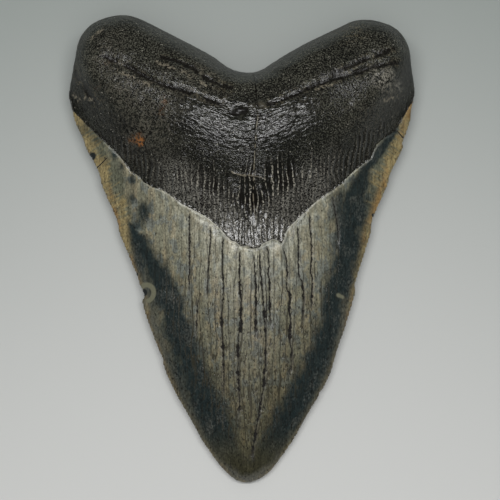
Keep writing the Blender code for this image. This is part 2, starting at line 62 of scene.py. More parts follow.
# ---- The tooth's lines, after the part's source; some run on a little further here -------------------
LEFT_REACH = 56.4
LEFT_CUTTING_EDGE = [
    (-3.0, 0.5), (-8.4, 5.3), (-12.4, 11.0), (-17.4, 19.0), (-20.9, 25.0), (-26.8, 38.0),
    (-31.2, 50.0), (-34.3, 62.0), (-44.0, 88.0), (-48.5, 99.5), (-53.0, 109.0),
]
LEFT_LOBE = [
    (-56.0, 118.0), (-56.3, 122.5), (-54.5, 131.5), (-53.0, 139.0), (-49.5, 143.5), (-45.0, 145.7),
    (-40.0, 146.6), (-34.5, 145.5),
]
NOTCH = [(-22.5, 139.0), (-11.0, 132.5), (-5.0, 128.0), (0.0, 126.8), (4.0, 127.3), (9.0, 130.7)]
RIGHT_LOBE = [
    (18.0, 136.3), (29.5, 142.3), (34.0, 144.5), (39.0, 145.0), (45.0, 143.5), (49.0, 140.8),
    (51.6, 135.5), (52.2, 130.5), (53.5, 122.5), (52.8, 117.5),
]
RIGHT_CUTTING_EDGE = [
    (51.5, 111.5), (49.3, 104.0), (45.3, 94.5), (40.3, 81.5), (36.6, 68.5), (33.3, 56.0),
    (29.8, 43.5), (24.9, 31.0), (20.0, 22.0), (14.4, 13.0), (10.9, 7.8), (7.2, 3.3), (3.0, 0.5),
    (0.0, 0.0),
]
ENAMEL_LINE = [
    (-58.0, 119.0), (-55.0, 116.0), (-50.5, 111.0), (-46.5, 107.0), (-42.5, 103.0), (-40.0, 100.5),
    (-38.5, 98.5), (-36.0, 95.0), (-33.5, 93.5), (-32.0, 91.5), (-29.0, 89.5), (-26.0, 88.5),
    (-24.0, 87.0), (-19.5, 83.5), (-16.0, 81.5), (-12.5, 79.5), (-10.0, 77.5), (-7.5, 75.0),
    (-5.0, 72.0), (-3.0, 71.3), (-1.8, 70.0), (0.7, 70.0), (1.6, 69.2), (3.8, 69.4), (4.8, 70.8),
    (8.0, 72.4), (9.8, 72.0), (10.7, 71.0), (11.6, 72.3), (12.0, 74.5), (13.5, 76.7), (16.5, 79.7),
    (18.5, 81.5), (21.0, 84.3), (26.0, 88.0), (30.0, 91.0), (31.5, 93.0), (34.0, 95.5), (39.0, 99.5),
    (40.0, 102.0), (41.0, 104.0), (43.5, 106.5), (47.0, 109.0), (48.5, 111.5), (50.0, 114.0),
    (52.0, 117.5), (56.0, 124.0),
]
UNDER_ENAMEL_LINE = [
    (-58.0, 121.0), (-54.6, 118.5), (-49.5, 115.6), (-43.0, 112.0), (-34.0, 108.3), (-24.0, 104.2),
    (-14.0, 100.6), (-5.0, 98.0), (1.0, 97.2), (7.0, 98.3), (16.0, 101.0), (26.0, 104.6),
    (35.0, 108.6), (43.0, 112.2), (48.5, 115.4), (51.9, 118.2), (56.0, 121.5),
]
CROWN_CRACKS = [
    [(-7.0, 73.5), (-7.2, 63.0), (-6.8, 59.0), (-7.0, 53.5), (-7.4, 48.5), (-6.8, 33.5), (-6.9, 24.5)],
    [(-1.9, 69.0), (-2.0, 59.0), (-1.6, 54.0), (-1.6, 46.5), (-2.4, 42.5), (-2.4, 32.0), (-2.0, 24.5),
     (-2.3, 18.0)],
    [(2.2, 68.0), (2.9, 58.0), (2.8, 46.5), (2.9, 41.5)],
    [(4.2, 68.5), (4.3, 64.0), (5.2, 53.5), (5.9, 43.5), (5.8, 36.0), (5.3, 29.0), (3.4, 18.0),
     (2.9, 15.0), (1.7, 5.5)],
    [(6.5, 70.5), (6.9, 65.0), (6.6, 62.5), (7.1, 59.0), (7.3, 49.0), (8.0, 45.5)],
    [(10.9, 70.0), (11.9, 68.0), (12.5, 63.5), (12.3, 58.5), (13.4, 56.0), (13.2, 52.5), (13.5, 48.0),
     (13.2, 43.5), (13.8, 39.5), (13.5, 33.5), (12.5, 30.5)],
    [(15.6, 77.0), (16.0, 71.0), (16.1, 62.5), (17.1, 60.0), (17.5, 54.5), (16.9, 47.0)],
    [(19.4, 81.0), (20.1, 70.0), (19.8, 64.0), (20.2, 60.5), (20.0, 50.5)],
    [(26.4, 87.0), (27.9, 80.5), (28.6, 74.0), (28.0, 71.5)],
    [(-10.9, 76.5), (-10.9, 71.5), (-11.5, 63.5), (-12.0, 54.0)],
    [(-17.4, 81.0), (-17.3, 64.0), (-17.7, 55.5)],
    [(-14.7, 55.5), (-15.0, 48.5), (-15.3, 43.0)],
]
ROOT_CRACK = [
    (2.2, 124.0), (3.2, 113.5), (3.5, 107.5), (3.0, 104.0), (2.4, 92.5), (2.2, 84.0), (3.2, 76.5),
]
CREST_AT = 105.0
CREST_SWEEP = 0.47
CREST_SWEEP_GAIN = 0.006
CREST_BEND = 8.0
FURROWS = [
    [(-44.0, 130.0), (-36.4, 126.1), (-31.5, 122.9), (-26.8, 120.1), (-21.5, 118.0), (-16.9, 116.3),
     (-11.7, 114.1), (-7.2, 111.7)],
    [(-26.0, 128.6), (-19.0, 126.0), (-14.2, 122.6), (-9.5, 119.2), (-4.6, 117.6)],
    [(-54.2, 127.6), (-51.6, 123.4), (-48.9, 119.6), (-46.6, 116.4)],
    [(47.5, 129.0), (39.6, 126.6), (32.2, 123.4), (24.4, 120.5), (18.0, 117.2), (11.5, 113.9),
     (6.6, 112.2)],
    [(46.0, 133.2), (41.6, 131.0), (37.3, 128.9), (33.5, 126.8), (29.7, 124.8), (26.6, 123.0)],
]

# ---- Small marks; a spot is (x, y, radius, strength) --------------------------------------------------
SCARS = [[(-4.4, 92.3), (-3.2, 91.6), (-0.2, 91.0)], [(0.6, 91.2), (3.8, 90.8), (5.4, 90.2)]]
EDGE_CRACKS = [((-48.6, 97.0), (-43.6, 100.4)), ((46.2, 110.4), (50.6, 106.8))]
HOLLOWS = [
    (-3.8, 109.6, 1.3, 0.8), (-1.6, 109.9, 1.5, 0.9), (0.2, 110.4, 1.0, 0.6), (3.4, 108.6, 0.9, 0.5),
]
NODULES = [(-6.3, 114.0, 1.0, 0.6), (4.6, 111.8, 1.1, 0.7), (1.8, 111.4, 0.8, 0.4)]
DUSTY_LINES = [
    [(-39.5, 125.3), (-35.6, 123.0), (-32.5, 121.3), (-29.3, 119.4)],
    [(-17.6, 121.7), (-13.9, 119.6), (-12.1, 118.5)],
    [(-27.5, 127.0), (-22.5, 124.6), (-18.5, 122.9)],
    [(-50.7, 119.2), (-47.5, 117.6)],
    [(-55.0, 121.5), (-52.6, 118.6)],
    [(20.0, 117.2), (23.5, 118.6), (26.0, 119.4)],
    [(46.5, 119.4), (43.2, 117.0)],
    [(-45.0, 140.2), (-48.6, 137.0)],
]

# ---- How the mesh is made and how deep its marks are, in millimetres ----------------------------------
SHARP_EDGE = math.radians(38)
SHARP_EDGE_CREASE = 0.8
VOXEL = 0.48
FACES_KEPT = 0.72  # share of all the faces; only the side that it lies on loses any
RIM_LOST = 0.34
SNAP_REACH = 0.3
LEDGE_HEIGHT = 0.5
LEDGE_FALLOFF = 13.0
LEDGE_SOFTENED = 2.6
CRACK_WANDER = 0.09
CRACK_SEED = 3.0
ROOT_CRACK_WANDER = 0.10
ROOT_CRACK_SEED = 40.0
ROOT_CRACK_DEPTH = 0.25
ROOT_CRACK_HALF_WIDTH = 0.45
FURROW_WIDTH = 0.75
FURROW_DEPTH = 0.16
RIDGE_PITCH = 1.6
HAIRLINE_PITCH = 2.2
SCAR_HEIGHT = 0.10
SCAR_WIDTH = 0.45
STREAK_HEIGHT = 0.04
NODULE_HEIGHT = 0.8
HOLLOW_DEPTH = 0.55
DUST_REACH = 1.5
DUSTY_LINE_WIDTH = 0.7

# ---- Stains, with the painted highlights of the pale patches and the enamel's lip ----------------------
# the dark bands: places along the tooth, how far in from the rim there, half width there
DARK_BAND_LEFT = (
    [0, 12, 21, 31, 43, 52, 58, 67, 76, 84, 95, 112],
    [3.5, 5, 6.9, 7.2, 8, 8.6, 8, 6.2, 4.6, 3.6, 8.5, 4.5],
    [1.0, 3.2, 4.2, 4.2, 3.8, 3.8, 4.0, 3.6, 2.0, -2, -2, -2],
)
DARK_BAND_RIGHT = (
    [0, 10, 20, 29, 40, 49, 57, 63, 71, 80, 88, 96, 110],
    [3.5, 4.4, 5.2, 5.6, 5.4, 5.4, 5.8, 5.6, 5.6, 7.0, 8.6, 8, 4],
    [0.8, 2.8, 3.8, 3.8, 3.4, 3.2, 3.4, 3.4, 3.6, 4.4, 4.0, 1.5, 1],
)
# the tan edges: places along the tooth, how far in from the rim the tan reaches there
TAN_EDGE_LEFT = ([0, 50, 70, 80, 90, 105, 118, 122], [0, 0.5, 1.5, 5, 7.5, 7, 4, -4])
TAN_EDGE_RIGHT = ([0, 50, 70, 80, 90, 100, 118, 122], [0, 0.5, 2.5, 4, 6, 8, 4, -4])
# round spots: (x, y, radius, strength)
DARK_BLOTCHES = [
    (-31.6, 83.4, 3.2, 0.72), (-35.6, 87.2, 1.9, 0.55), (-34.6, 78.2, 2.8, 0.66), (-35.2, 92.6, 2.2, 0.68),
    (-38.4, 97.2, 2.0, 0.60), (-41.2, 101.0, 2.1, 0.62), (-50.5, 110.6, 3.6, 0.55), (-46.0, 106.4, 2.2, 0.5),
]
RUST = [
    (-32.2, 103.0, 1.1, 0.9), (-33.2, 104.4, 1.9, 0.42), (-35.6, 104.4, 1.5, 0.32), (-25.0, 114.2, 1.8, 0.32),
    (-25.6, 110.8, 1.6, 0.28), (-46.4, 121.2, 1.8, 0.20), (-43.0, 128.0, 2.6, 0.18), (-6.5, 118.0, 1.8, 0.16),
]
DUST_PATCHES = [
    (-31, 105, 8, 0.55), (-27, 114, 9, 0.6), (-38, 120, 6, 0.9), (-13, 121.5, 5, 0.7), (36, 113, 9, 0.4),
    (20, 116, 7, 0.3), (43.0, 122.4, 3.6, 1.1), (46.5, 121.0, 2.6, 0.8), (-44, 131, 6, 0.8),
]
# pale flats on the right lobe, with a painted highlight
PALE_HIGHLIGHT_PATCHES = [
    (42.0, 122.6, 2.4, 1.0), (44.6, 125.0, 1.6, 0.7), (40.4, 125.6, 1.5, 0.6), (47.8, 122.4, 1.2, 0.7),
]
GOLDEN_DUST = [
    (-9.8, 120.0, 2.2, 1.2), (-6.4, 118.2, 1.8, 1.2), (-13.0, 122.4, 2.0, 0.7), (33.0, 138.6, 4.5, 0.9),
    (42.6, 122.8, 2.2, 0.8),
]
DARK_CHIPS = [
    (-31.9, 58.2, 1.15, 1.2), (-48.7, 101.6, 1.35, 1.0), (-34.3, 63.9, 0.9, 0.8), (40.0, 82.7, 0.9, 0.8),
]
PALE_CHIPS = [(28.5, 57.1, 1.0, 0.8), (30.0, 56.6, 0.9, 0.7)]
# a pale arc round the largest chip
CHIP_ARC_CENTRE = (-31.2, 58.0)
CHIP_ARC_RADIUS = 2.5
CHIP_ARC_WIDTH = 1.1
# where the enamel's lip is pale, partly a painted highlight: x, how pale there
LIP_SHINE = (
    [-45, -40, -37, -33, -29, -24, -20, -9, -4, 2, 6, 11, 13, 20, 24, 33, 37, 42],
    [0, 0.35, 0.15, 0.1, 0.15, 0.4, 0.9, 1, 1, 0.3, 0.7, 0.1, 0.7, 0.7, 0.2, 0.1, 0.4, 0],
)

# ---- Colours -----------------------------------------------------------------------------------------
SAGE_ENAMEL = (0.212, 0.208, 0.148)
TAN_ENAMEL = (0.285, 0.243, 0.155)
SLATE_ENAMEL = (0.170, 0.184, 0.162)
# the tip's darker colour together with painted shade where the crown slopes away from the light
TIP_COLOUR_AND_SHADE = (0.33, 0.31, 0.23)
# paler enamel by the neck, with painted sheen in it
PALE_ENAMEL_AND_SHEEN = (0.440, 0.430, 0.340)
HAIRLINE_BROWN = (0.034, 0.030, 0.018)
LIP_CREAM_HIGHLIGHT = (0.62, 0.61, 0.53)
BROWN_RIM = (0.085, 0.083, 0.064)
TAN_EDGE = (0.270, 0.215, 0.104)
ORANGE_EDGE = (0.270, 0.165, 0.060)
OLIVE_EDGE = (0.120, 0.124, 0.086)
BLUE_BLACK = (0.011, 0.019, 0.020)
SLATE_BLACK = (0.058, 0.062, 0.055)
TIP_BROWN = (0.036, 0.034, 0.018)
CHIP_OLIVE = (0.160, 0.158, 0.108)
CHIP_BLACK = (0.016, 0.019, 0.019)
CRACK_BLACK = (0.005, 0.004, 0.003)
ROOT_BLACK = (0.004, 0.004, 0.003)
ROOT_BROWN = (0.008, 0.008, 0.006)
ROOT_GREY = (0.092, 0.092, 0.071)
# painted sheen: stands in for the light's reflection on the neck's sides
LEATHER_SHEEN_GREY = (0.185, 0.178, 0.155)
# grit specks brightened into painted glints; also the pale patches' painted highlight
GRIT_GLINT_GREY = (0.300, 0.285, 0.240)
RIDGE_TAN = (0.420, 0.390, 0.320)
DUST_TAN = (0.180, 0.150, 0.095)
DUST_GREY = (0.105, 0.097, 0.075)
RUST_ORANGE = (0.260, 0.105, 0.030)
SEAM_TAN = (0.215, 0.190, 0.140)
FOSSIL_SHINE = 0.75


# ---- Lines in plan ---------------------------------------------------------------------------------
def smooth_line(points, step, closed=False):
    """Points about `step` apart along a Catmull-Rom curve through `points`."""
    knots = [Vector(p) for p in points]
    count = len(knots)
    fine = []
    for i in range(count if closed else count - 1):
        if closed:
            a, b, c, d = (knots[(i + k) % count] for k in (-1, 0, 1, 2))
        else:
            a, b, c, d = (knots[min(max(i + k, 0), count - 1)] for k in (-1, 0, 1, 2))
        for part in range(12):
            t = part / 12
            fine.append(0.5 * (2 * b + (c - a) * t + (2 * a - 5 * b + 4 * c - d) * t**2
                               + (3 * b - a - 3 * c + d) * t**3))
    fine.append(fine[0] if closed else knots[-1])
    fine = np.array(fine)
    along = np.concatenate([[0], np.cumsum(np.linalg.norm(np.diff(fine, axis=0), axis=1))])
    at = np.linspace(0, along[-1], max(2, round(along[-1] / step)) + 1)
    return np.column_stack([np.interp(at, along, fine[:, 0]), np.interp(at, along, fine[:, 1])])


def smoothstep(t):
    """0 up to 0 and 1 from 1 on, with an even rise between."""
    t = np.clip(t, 0, 1)
    return t * t * (3 - 2 * t)


def distance_to_line(points, line, reach=12.0):
    """Each point's distance to a polyline, up to `reach`."""
    best = np.full(len(points), reach)
    for start, end in zip(line[:-1], line[1:]):
        near = np.flatnonzero(np.abs(points - start).max(1) < best + np.abs(end - start).max())
        to, along = points[near] - start, end - start
        t = np.clip(to @ along / (along @ along), 0, 1)
        best[near] = np.minimum(best[near], np.linalg.norm(to - t[:, None] * along, axis=1))
    return best


def grain(points, spacing, seed):
    """Smooth noise, about -1 to 1, at each point; spacing in millimetres for x, y and z."""
    scaled = points / np.array(spacing) + seed
    return np.array([noise.noise(p) for p in scaled])


OUTLINE_KNOTS = LEFT_CUTTING_EDGE + LEFT_LOBE + NOTCH + RIGHT_LOBE + RIGHT_CUTTING_EDGE
OUTLINE = smooth_line(OUTLINE_KNOTS, 1.5, closed=True)


# ---- The tooth's mesh ------------------------------------------------------------------------------
def only(piece):
    """Selects one object and makes it the active one."""
    bpy.ops.object.select_all(action="DESELECT")
    piece.select_set(True)
    bpy.context.view_layer.objects.active = piece


def apply_modifier(piece, kind, **settings):
    """Adds one modifier to a piece and applies it."""
    only(piece)
    modifier = piece.modifiers.new(kind.title(), kind)
    for name, value in settings.items():
        setattr(modifier, name, value)
    bpy.ops.object.modifier_apply(modifier=modifier.name)


def smoothed_copy(node):
    """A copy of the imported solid, rounded and in small even faces, with fewer of them underneath."""
    only(node)
    bpy.ops.object.duplicate()
    tooth = bpy.context.object
    tooth.name = "tooth_fossil"
    tooth.data.materials.clear()
    bpy.ops.object.mode_set(mode="EDIT")
    bpy.ops.mesh.select_all(action="SELECT")
    bpy.ops.mesh.remove_doubles(threshold=1e-6)
    bpy.ops.mesh.select_all(action="DESELECT")
    bpy.ops.mesh.select_mode(type="EDGE")
    bpy.ops.mesh.edges_select_sharp(sharpness=SHARP_EDGE)
    bpy.ops.transform.edge_crease(value=SHARP_EDGE_CREASE)
    bpy.ops.object.mode_set(mode="OBJECT")
    apply_modifier(tooth, "SUBSURF", levels=2, render_levels=2)
    apply_modifier(tooth, "REMESH", mode="VOXEL", voxel_size=VOXEL * MM)
    apply_modifier(tooth, "SMOOTH", factor=0.5, iterations=3)
    underside = tooth.vertex_groups.new(name="underside")
    underside.add([v.index for v in tooth.data.vertices if v.normal.z < -0.2], 1.0, "REPLACE")
    apply_modifier(tooth, "DECIMATE", ratio=FACES_KEPT, vertex_group="underside")
    return tooth


def plan_of(tooth):
    """(vertex places in millimetres from the tip, normals) of the tooth's mesh."""
    count = len(tooth.data.vertices)
    places, normals = np.empty(count * 3), np.empty(count * 3)
    tooth.data.vertices.foreach_get("co", places)
    tooth.data.vertices.foreach_get("normal", normals)
    places = places.reshape(-1, 3) / MM - TIP
    return places, normals.reshape(-1, 3)


def put_back(tooth, places):
    """Moves the mesh's vertices to places that are in millimetres from the tip."""
    tooth.data.vertices.foreach_set("co", ((places + TIP) * MM).ravel())
    tooth.data.update()


def store(tooth, name, values):
    """Keeps one number for each vertex, for the materials to read."""
    mask = tooth.data.attributes.new(name, "FLOAT", "POINT")
    mask.data.foreach_set("value", values.astype(np.float32))


def above_line(places, line):
    """How far each place lies from a line that runs left to right, positive towards the tip."""
    xs, ys = np.array(line).T
    away = distance_to_line(places[:, :2], np.array(line), reach=40.0)
    return np.where(places[:, 1] < np.interp(places[:, 0], xs, ys), away, -away)


def crack_field(places, cracks, wander, seed):
    """(signed distance to the nearest crack, how open that crack is there, 0 to 1)."""
    side = np.full(len(places), 9.0)
    opened = np.zeros(len(places))
    best = np.full(len(places), 9.0)
    x, y, _ = places.T
    rows = np.linspace(-5, 130, 900)
    for number, crack in enumerate(cracks):
        line = smooth_line(crack, 1.0)
        line = line[np.argsort(line[:, 1])]
        bends = np.array([noise.noise((0, r / 3.1, number + seed)) for r in rows])
        shivers = np.array([noise.noise((0, r / 0.9, number + seed)) for r in rows])
        wave = wander * (bends + 0.5 * shivers)
        off = x - np.interp(y, line[:, 1], line[:, 0]) - np.interp(y, rows, wave)
        inside = smoothstep((y - line[0, 1]) / 5.0) * smoothstep((line[-1, 1] - y) / 1.2)
        nearer = (np.abs(off) < best) & (inside > 0)
        side[nearer] = off[nearer]
        opened[nearer] = inside[nearer]
        best[nearer] = np.abs(off)[nearer]
    return side, opened


def slide(places, normals, step_x, step_y):
    """Moves places sideways along the surface they lie on."""
    flat = np.maximum(np.abs(normals[:, 2]), 0.35) * np.sign(normals[:, 2] + 1e-9)
    places[:, 0] += step_x
    places[:, 1] += step_y
    places[:, 2] -= (normals[:, 0] * step_x + normals[:, 1] * step_y) / flat


def spots(places, wanted):
    """Soft round spots, each (x, y, radius, strength)."""
    mask = np.zeros(len(places))
    for x, y, radius, strength in wanted:
        mask += strength * np.exp(-((places[:, 0] - x) ** 2 + (places[:, 1] - y) ** 2) / radius**2)
    return mask


def segment_side(places, start, end):
    """(signed distance to the line through two places, 1 alongside the stretch between them)."""
    start, along = np.array(start), np.array(end) - np.array(start)
    length = np.linalg.norm(along)
    to = places[:, :2] - start
    away = (to[:, 0] * along[1] - to[:, 1] * along[0]) / length
    at = to @ along / length
    alongside = smoothstep(at / 0.6 + 0.5) * smoothstep((length - at) / 0.6 + 0.5)
    return away, alongside * (np.abs(away) < 1.5)


def soft_lines(places, lines, width, step=1.0):
    """1 on any of the lines, and less and less beside them."""
    strength = np.zeros(len(places))
    for line in lines:
        away = distance_to_line(places[:, :2], smooth_line(line, step))
        strength = np.maximum(strength, np.exp(-(away / width) ** 2))
    return strength


def store_margins(tooth, places, rim):
    """Stores how the dark bands and the tan edges lie along the cutting edges."""
    x, y, _ = places.T
    left = x < np.interp(y, [0, 70, 130], [0, 0, 2])
    centre = np.where(left, np.interp(y, *DARK_BAND_LEFT[:2]), np.interp(y, *DARK_BAND_RIGHT[:2]))
    half = np.where(left, np.interp(y, *DARK_BAND_LEFT[::2]), np.interp(y, *DARK_BAND_RIGHT[::2]))
    band = (half - np.abs(rim - centre)) / np.maximum(half, 1.5)
    store(tooth, "margin", np.clip(np.maximum(band, spots(places, DARK_BLOTCHES) * 2.0 - 1.0), -1.5, 1))
    limit = np.where(left, np.interp(y, *TAN_EDGE_LEFT), np.interp(y, *TAN_EDGE_RIGHT))
    store(tooth, "tan", np.clip((limit - rim) / 3.0, -1.5, 1.5))


def store_chips(tooth, places, up):
    """Stores the chips on the rim, the arc round the largest and the short cracks in from it."""
    store(tooth, "chip", spots(places, DARK_CHIPS))
    store(tooth, "pale_chip", spots(places, PALE_CHIPS) * up)
    right, above = (places[:, :2] - CHIP_ARC_CENTRE).T
    ring = np.exp(-((np.hypot(right, above) - CHIP_ARC_RADIUS) / CHIP_ARC_WIDTH) ** 2)
    inward = smoothstep((right + 0.6 * above + 2.6) / 2.0)
    store(tooth, "chip_arc", ring * inward * up)
    side = np.full(len(places), 2.0)
    near = np.zeros(len(places))
    for start, end in EDGE_CRACKS:
        away, alongside = segment_side(places, start, end)
        side = np.where(alongside > 0, away, side)
        near = np.maximum(near, alongside)
    store(tooth, "edge_crack_side", side)
    store(tooth, "edge_crack_near", near * up)


def store_dust(tooth, places, up):
    """Stores where rust, dust and the pale patches with their painted highlight lie on the root."""
    store(tooth, "rust", spots(places, RUST) * up)
    golden = np.maximum(spots(places, GOLDEN_DUST), soft_lines(places, FURROWS, DUST_REACH))
    store(tooth, "dust", golden * up)
    store(tooth, "dust_patch", spots(places, DUST_PATCHES) * up)
    store(tooth, "pale_highlight_patch", spots(places, PALE_HIGHLIGHT_PATCHES) * up)
    store(tooth, "dusty_line", soft_lines(places, DUSTY_LINES, DUSTY_LINE_WIDTH) * up)


def crest_line(x):
    """How far along the tooth the root's crest lies."""
    across = np.sqrt(x**2 + CREST_BEND**2) - CREST_BEND
    return CREST_AT + CREST_SWEEP * across * (1 + CREST_SWEEP_GAIN * across)


def on_the_brow(places):
    """1 on the crest and close to it, where the skin is rippled along it."""
    past = places[:, 1] - crest_line(places[:, 0])
    central = smoothstep((28 - np.abs(places[:, 0])) / 10)
    return smoothstep((past + 10) / 6) * smoothstep((11 - past) / 7) * central


def on_the_neck(places, enamel):
    """1 on the ridged neck between the enamel and the root, which narrows towards the sides."""
    reach = np.interp(np.abs(places[:, 0] - 2), [0, 12, 22, 32, 44], [22, 16, 11, 8, 4])
    reach = reach * (1 + 0.55 * grain(places, (1.1, 12.0, 9.0), 13.0))
    faint = np.interp(np.abs(places[:, 0] - 2), [0, 14, 24, 40, 48], [1, 1, 0.6, 0.3, 0])
    return smoothstep((enamel + reach) / (0.5 * reach)) * (enamel < 0) * faint


def in_the_valley(places, enamel):
    """1 in the sunken crescent across the upper part of the neck."""
    depth = -enamel / np.interp(np.abs(places[:, 0] - 2), [0, 17, 22, 34], [1.0, 0.65, 0.42, 0.3])
    return smoothstep((depth - 8) / 4) * smoothstep((24 - depth) / 4)


def ridge_turns(places):
    """How many ridges of the neck lie between each place and the midline, counted along x."""
    wander = 1.1 * grain(places, (4.0, 9.0, 9.0), 11.0) + 0.45 * grain(places, (1.7, 3.2, 9.0), 12.0)
    return (places[:, 0] + wander) / RIDGE_PITCH


def ridge_strength(places):
    """How high the neck's ridges stand, from place to place."""
    return np.clip(0.75 + 1.1 * grain(places, (1.8, 3.6, 9.0), 17.0), 0.1, 1.4)


def skin_relief(places, neck, brow, valley):
    """Ridges down the neck, ripples along the brow and grain over the rest of the root."""
    x, y, z = places.T
    along_crest = np.column_stack([x, y - crest_line(x), z])
    ripples = grain(along_crest, (1.9, 0.8, 4.0), 19.0)
    leather = grain(places, (0.9, 0.9, 0.9), 23.0) + 0.7 * grain(places, (4.5, 4.5, 4.5), 29.0)
    ridges = np.cos(2 * math.pi * ridge_turns(places)) * ridge_strength(places)
    height = 0.12 * ripples * brow * (1 - neck) + 0.09 * leather * (1 - 0.8 * neck)
    return height + (0.17 + 0.25 * valley) * ridges * neck


def furrow_relief(places):
    """Ragged furrows across the lobes."""
    cut = np.zeros(len(places))
    bent = places[:, :2] + 0.35 * grain(places, (1.8, 1.8, 1.8), 77.0)[:, None]
    for furrow in FURROWS:
        away = distance_to_line(bent, smooth_line(furrow, 1.0))
        cut = np.maximum(cut, np.exp(-((away / FURROW_WIDTH) ** 2)))
    return cut * np.clip(0.7 + 0.9 * grain(places, (3.0, 3.0, 3.0), 78.0), 0.1, 1.2)


def restore_rim(places, normals, rim):
    """Brings the cutting edges back out to the outline, from which smoothing had drawn them in."""
    out = np.linalg.norm(normals[:, :2], axis=1)
    share = smoothstep(out) * (1 - smoothstep(rim / 1.6))
    places[:, :2] += normals[:, :2] * (RIM_LOST * share)[:, None]


def enamel_side(places, up):
    """How far each place lies from the enamel's line, positive on the enamel."""
    return np.where(up, above_line(places, ENAMEL_LINE), above_line(places, UNDER_ENAMEL_LINE))


def crown_cracks(places):
    """(signed distance to the crown's nearest crack, how open that crack is there)."""
    return crack_field(places, CROWN_CRACKS, CRACK_WANDER, CRACK_SEED)


def snap_to_marks(places, normals, enamel, up):
    """Moves vertices near the ledge and the cracks onto them, so that both stay crisp."""
    near = up & (np.abs(enamel) < SNAP_REACH)
    slide(places, normals, 0.0 * enamel, np.where(near, enamel, 0.0))
    side, opened = crown_cracks(places)
    near = up & (np.abs(side) < SNAP_REACH) & (opened > 0.05)
    slide(places, normals, np.where(near, -side, 0.0), 0.0 * side)


def ledge_relief(enamel, on_enamel):
    """The enamel's ledge, with its step steepened where smoothing had laid it down."""
    thinning = 1 - smoothstep(enamel / LEDGE_FALLOFF)
    coat = LEDGE_HEIGHT * thinning * on_enamel
    laid_down = LEDGE_HEIGHT * smoothstep((enamel + 0.5 * LEDGE_SOFTENED) / LEDGE_SOFTENED) * thinning
    return coat - laid_down


def crack_widths(places):
    """How wide the crown's cracks are: even by the neck, with pits here and there lower down."""
    uneven = grain(places, (2.5, 1.5, 9.0), 5.0) * smoothstep((70 - places[:, 1]) / 26)
    return np.clip(0.16 + 0.8 * uneven, 0.10, 0.55)


def cut_marks(tooth):
    """Cuts the enamel's ledge, the cracks and the root's skin, and stores the masks."""
    places, normals = plan_of(tooth)
    up = normals[:, 2] > -0.15
    enamel = enamel_side(places, up)
    restore_rim(places, normals, distance_to_line(places[:, :2], OUTLINE, reach=30.0))
    snap_to_marks(places, normals, enamel, up)

    rim = distance_to_line(places[:, :2], OUTLINE, reach=30.0)
    enamel = enamel_side(places, up)
    on_enamel = smoothstep((enamel + 0.05) / 0.1)
    fade = smoothstep(rim / 2.0)
    height = np.where(up, ledge_relief(enamel, on_enamel) * fade, 0.0)

    side, opened = crown_cracks(places)
    width = crack_widths(places)
    groove = np.clip(1 - np.abs(side) / (width + 0.22), 0, 1) * opened
    height -= np.where(up, (0.06 + 0.8 * width) * groove * on_enamel, 0.0)
    root_side, root_open = crack_field(places, [ROOT_CRACK], ROOT_CRACK_WANDER, ROOT_CRACK_SEED)
    groove = np.clip(1 - np.abs(root_side) / ROOT_CRACK_HALF_WIDTH, 0, 1) * root_open
    height -= np.where(up, ROOT_CRACK_DEPTH * groove, 0.0)

    neck = np.where(up, on_the_neck(places, enamel), 0.0)
    brow = np.where(up, on_the_brow(places), 0.0)
    valley = in_the_valley(places, enamel) * neck
    furrow = furrow_relief(places) * up
    height += (skin_relief(places, neck, brow, valley) - FURROW_DEPTH * furrow) * (1 - on_enamel)
    streaks = grain(places, (0.9, 14.0, 5.0), 31.0) + 0.6 * grain(places, (2.6, 22.0, 8.0), 37.0)
    height += STREAK_HEIGHT * streaks * on_enamel * fade

    scar = soft_lines(places, SCARS, SCAR_WIDTH, step=0.8) * up
    bent = places + 1.3 * grain(places, (2.0, 2.0, 2.0), 71.0)[:, None] * np.array([1.0, -0.7, 0.0])
    hollow = spots(bent, HOLLOWS) * up
    nodule = spots(bent, NODULES) * up
    height += SCAR_HEIGHT * scar
    height += NODULE_HEIGHT * nodule - HOLLOW_DEPTH * hollow

    places += normals * height[:, None]
    places[:, 2] = np.maximum(places[:, 2], 0.0)
    put_back(tooth, places)

    masks = {
        "enamel": np.clip(enamel, -40, 40),
        "rim": rim,
        # lip: where the ledge's pale line and its painted highlight lie
        "lip": np.interp(places[:, 0], *LIP_SHINE) * up,
        "crack_side": np.clip(side, -2, 2),
        "crack_open": opened * (np.abs(side) < 1.6),
        "crack_width": width,
        "root_crack_side": np.clip(root_side, -2, 2),
        "root_crack_open": root_open * (np.abs(root_side) < 1.6),
        "neck": neck,
        "valley": valley,
        "ridge_turns": ridge_turns(places),
        "ridge_strength": ridge_strength(places),
        "brow": brow * (1 - neck),
        "past_crest": places[:, 1] - crest_line(places[:, 0]),
        "furrow": furrow,
        "scar": scar,
        "hollow": hollow,
        "nodule": nodule,
        "steep": smoothstep((0.8 - normals[:, 2]) / 0.4),
    }
    for name, values in masks.items():
        store(tooth, name, values)
    store_margins(tooth, places, rim)
    store_chips(tooth, places, up)
    store_dust(tooth, places, up)


CAD_WIDTH = (cad_box[1][0] - cad_box[0][0]) / MM
TIP = np.array([LEFT_REACH - 0.5 * CAD_WIDTH, cad_box[0][1] / MM, 0.0])
tooth = smoothed_copy(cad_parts["tooth"])
cut_marks(tooth)
bpy.ops.object.shade_smooth()
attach(tooth, "root")
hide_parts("tooth")


# ---- The fossil's material ---------------------------------------------------------------------------
def node(tree, kind, settings=(), **inputs):
    """Adds a shader node. An input is a number or colour, or the socket that feeds it.

    An input's name is the socket's, or an underscore and the socket's number.
    """
    made = tree.nodes.new("ShaderNode" + kind)
    for name, value in dict(settings).items():
        setattr(made, name, value)
    for name, value in inputs.items():
        socket = made.inputs[int(name[1:]) if name[1:].isdigit() else name.replace("_", " ")]
        if isinstance(value, bpy.types.NodeSocket):
            tree.links.new(value, socket)
        else:
            socket.default_value = value
    return made


def mask(tree, name):
    """One of the masks that are stored on the mesh."""
    return node(tree, "Attribute", {"attribute_name": name}).outputs["Fac"]


